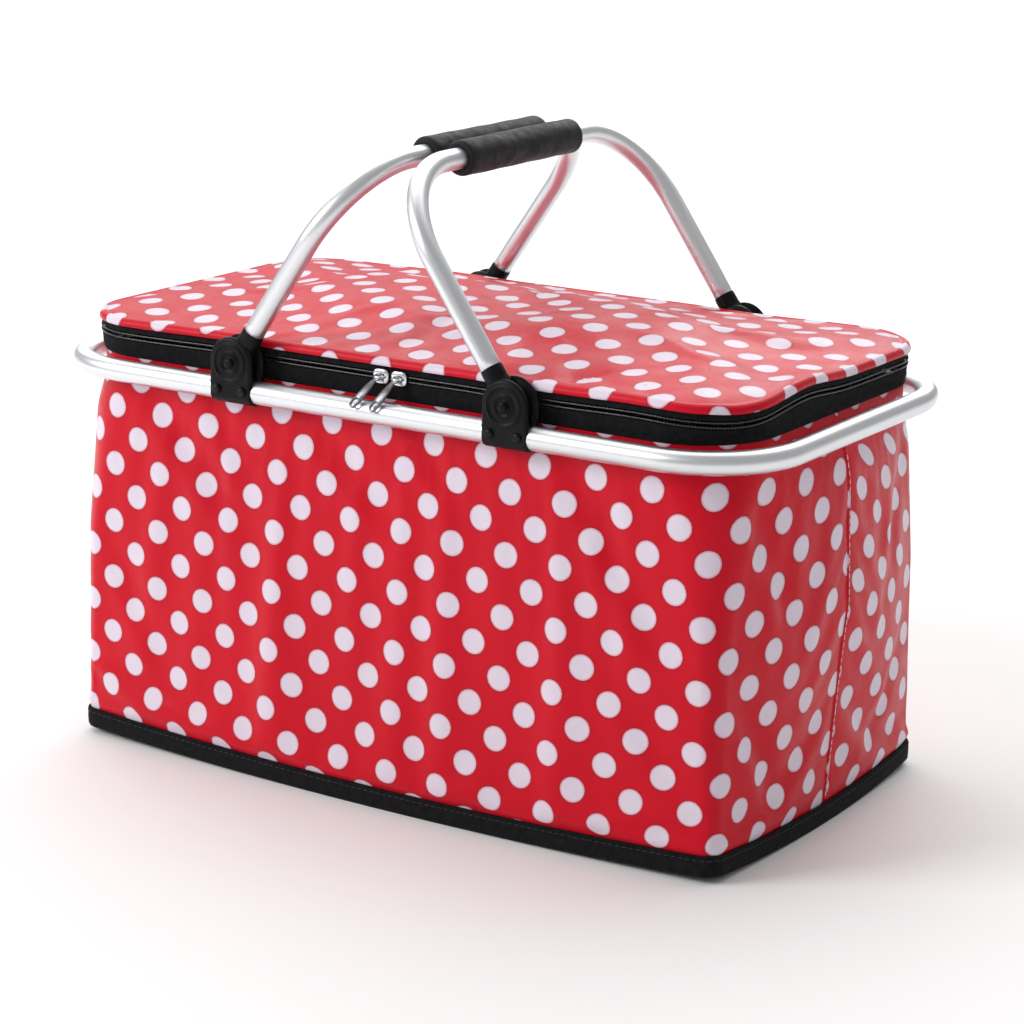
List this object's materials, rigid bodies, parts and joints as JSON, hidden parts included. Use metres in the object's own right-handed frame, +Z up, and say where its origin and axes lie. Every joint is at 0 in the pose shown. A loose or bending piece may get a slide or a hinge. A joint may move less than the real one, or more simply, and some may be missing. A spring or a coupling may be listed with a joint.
{
  "type": "insulated cooler bag",
  "caption": "Insulated carry bag with a rigid rim tube, two folding bail handles and a zipped padded lid.",
  "frame": {"origin": "middle of the base, on the surface the bag stands on", "axes": "+X along the bag's length to the right, +Y towards the back (the cloth hinge), +Z up; the zip sliders are on the front, at -Y"},
  "size_m": [0.48, 0.2682, 0.3697],
  "materials": {
    "dotted_cloth": "glossy coated woven cloth, red with pale staggered dots",
    "black_binding": "matte non-woven binding",
    "foam_pad": "closed-cell polyethylene foam sheet",
    "board": "stiff plastic board",
    "foil_lining": "crinkled metallised film",
    "zip_tape": "woven zip tape, black",
    "zip_teeth": "coil teeth, black",
    "red_hem": "folded red hem",
    "tube": "satin anodised tube",
    "black_plastic": "moulded nylon, slight sheen",
    "screw_steel": "darkened steel",
    "grip_foam": "soft black foam rubber",
    "slider_metal": "nickel plated",
    "pull_metal": "dark gunmetal"
  },
  "bodies": {
    "base": {"base_board": "board", "base_trim": "black_binding", "floor_foam": "foam_pad", "floor_panel": "black_binding", "foam_back": "foam_pad", "foam_front": "foam_pad", "lining_tub": "foil_lining", "seam_welt_left": "dotted_cloth", "seam_welt_right": "dotted_cloth", "shell_back": "dotted_cloth", "shell_front": "dotted_cloth"},
    "frame": {"back_hinge_strip": "zip_tape", "body_zip_tape": "zip_tape", "body_zip_teeth": "zip_teeth", "bracket_inner_back_left": "black_plastic", "bracket_inner_back_right": "black_plastic", "bracket_inner_front_left": "black_plastic", "bracket_inner_front_right": "black_plastic", "bracket_outer_back_left": "black_plastic", "bracket_outer_back_right": "black_plastic", "bracket_outer_front_left": "black_plastic", "bracket_outer_front_right": "black_plastic", "bracket_screw_back_left_a": "screw_steel", "bracket_screw_back_left_b": "screw_steel", "bracket_screw_back_right_a": "screw_steel", "bracket_screw_back_right_b": "screw_steel", "bracket_screw_front_left_a": "screw_steel", "bracket_screw_front_left_b": "screw_steel", "bracket_screw_front_right_a": "screw_steel", "bracket_screw_front_right_b": "screw_steel", "collar_band": "dotted_cloth", "pivot_pin_back_left": "black_plastic", "pivot_pin_back_right": "black_plastic", "pivot_pin_front_left": "black_plastic", "pivot_pin_front_right": "black_plastic", "rim_tube_back": "tube", "rim_tube_front": "tube", "rim_tube_left": "tube", "rim_tube_right": "tube"},
    "lid": {"lid_cover": "dotted_cloth", "lid_foam": "foam_pad", "lid_lining": "foil_lining", "lid_piping": "red_hem", "lid_zip_tape": "zip_tape", "lid_zip_teeth": "zip_teeth"},
    "handle_left": {"handle_tube_left": "tube", "handle_grip_left": "grip_foam", "knuckle_front_left": "black_plastic", "knuckle_back_left": "black_plastic"},
    "handle_right": {"handle_tube_right": "tube", "handle_grip_right": "grip_foam", "knuckle_front_right": "black_plastic", "knuckle_back_right": "black_plastic"},
    "slider_left": {"slider_left": "slider_metal"},
    "slider_right": {"slider_right": "slider_metal"},
    "pull_left": {"pull_left": "pull_metal"},
    "pull_right": {"pull_right": "pull_metal"}
  },
  "joints": [
    {"name": "collapse", "type": "slide", "parent": "base", "child": "frame", "axis": [0, 0, -1], "range_m": [0, 0.19], "deforming": ["shell_front", "shell_back", "foam_front", "foam_back", "lining_tub", "seam_welt_left", "seam_welt_right"]},
    {"name": "handle_left_fold", "type": "hinge", "parent": "frame", "child": "handle_left", "pos_m": [-0.0915, 0, 0.245], "axis": [0, -1, 0], "range_deg": [0, 124]},
    {"name": "handle_right_fold", "type": "hinge", "parent": "frame", "child": "handle_right", "pos_m": [0.0915, 0, 0.245], "axis": [0, 1, 0], "range_deg": [0, 124]},
    {"name": "lid_open", "type": "hinge", "parent": "frame", "child": "lid", "pos_m": [0, 0.115, 0.2553], "axis": [-1, 0, 0], "range_deg": [0, 22]},
    {"name": "slider_left_slide", "type": "slide", "parent": "frame", "child": "slider_left", "axis": [-1, 0, 0], "range_m": [0, 0.06]},
    {"name": "slider_right_slide", "type": "slide", "parent": "frame", "child": "slider_right", "axis": [1, 0, 0], "range_m": [0, 0.05]},
    {"name": "pull_left_swing", "type": "hinge", "parent": "slider_left", "child": "pull_left", "pos_m": [0.002, -0.1203, 0.2471], "axis": [-1, 0, 0], "range_deg": [0, 130]},
    {"name": "pull_right_swing", "type": "hinge", "parent": "slider_right", "child": "pull_right", "pos_m": [0.014, -0.1203, 0.2471], "axis": [-1, 0, 0], "range_deg": [0, 130]}
  ]
}
